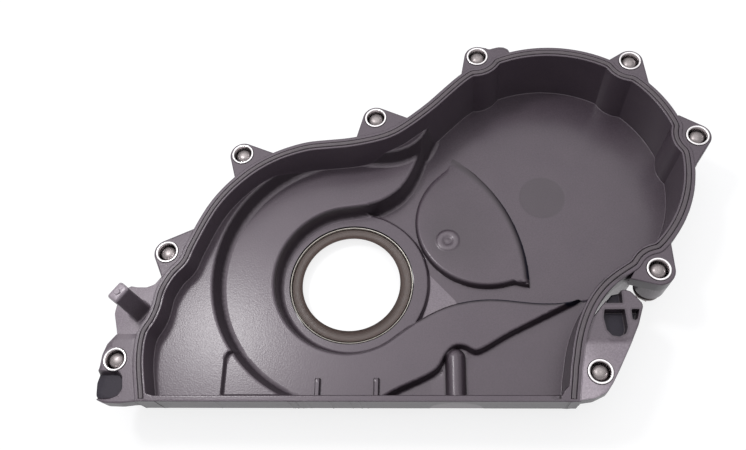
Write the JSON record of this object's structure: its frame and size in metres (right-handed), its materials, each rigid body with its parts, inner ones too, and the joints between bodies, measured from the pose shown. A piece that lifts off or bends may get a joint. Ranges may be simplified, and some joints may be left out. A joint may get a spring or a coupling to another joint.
{
  "type": "timing cover",
  "caption": "Moulded plastic timing cover, inner side up, with spiral terraces, a round cam wheel bay, a crank seal, a moulded-in gasket and sleeved flange bolts",
  "frame": {"origin": "middle of the box round the part, at the height of its underside", "axes": "+X along the sump rail towards the cam wheel bay, +Y up the engine, +Z towards the engine block"},
  "size_m": [0.281, 0.1816, 0.0504],
  "materials": {
    "cover_plastic": "dark grey-brown glass-filled plastic, satin, with a fine grain",
    "gasket_rubber": "dark moulded rubber bead",
    "seal_steel": "turned steel case of the shaft seal",
    "seal_lip": "bronze-brown low-friction lip with fine turned rings",
    "sleeve_steel": "bright turned steel sleeve",
    "bolt_steel": "zinc-grey steel bolt with a domed tip"
  },
  "bodies": {
    "root": {"cover_body": "cover_plastic", "perimeter_gasket": "gasket_rubber", "seal_case": "seal_steel", "seal_lip": "seal_lip", "sleeve_1": "sleeve_steel", "sleeve_2": "sleeve_steel", "sleeve_3": "sleeve_steel", "sleeve_4": "sleeve_steel", "sleeve_5": "sleeve_steel", "sleeve_6": "sleeve_steel", "sleeve_7": "sleeve_steel", "sleeve_8": "sleeve_steel", "sleeve_9": "sleeve_steel", "bolt_1": "bolt_steel", "bolt_2": "bolt_steel", "bolt_3": "bolt_steel", "bolt_4": "bolt_steel", "bolt_5": "bolt_steel", "bolt_6": "bolt_steel", "bolt_7": "bolt_steel", "bolt_8": "bolt_steel", "bolt_9": "bolt_steel"}
  },
  "joints": []
}
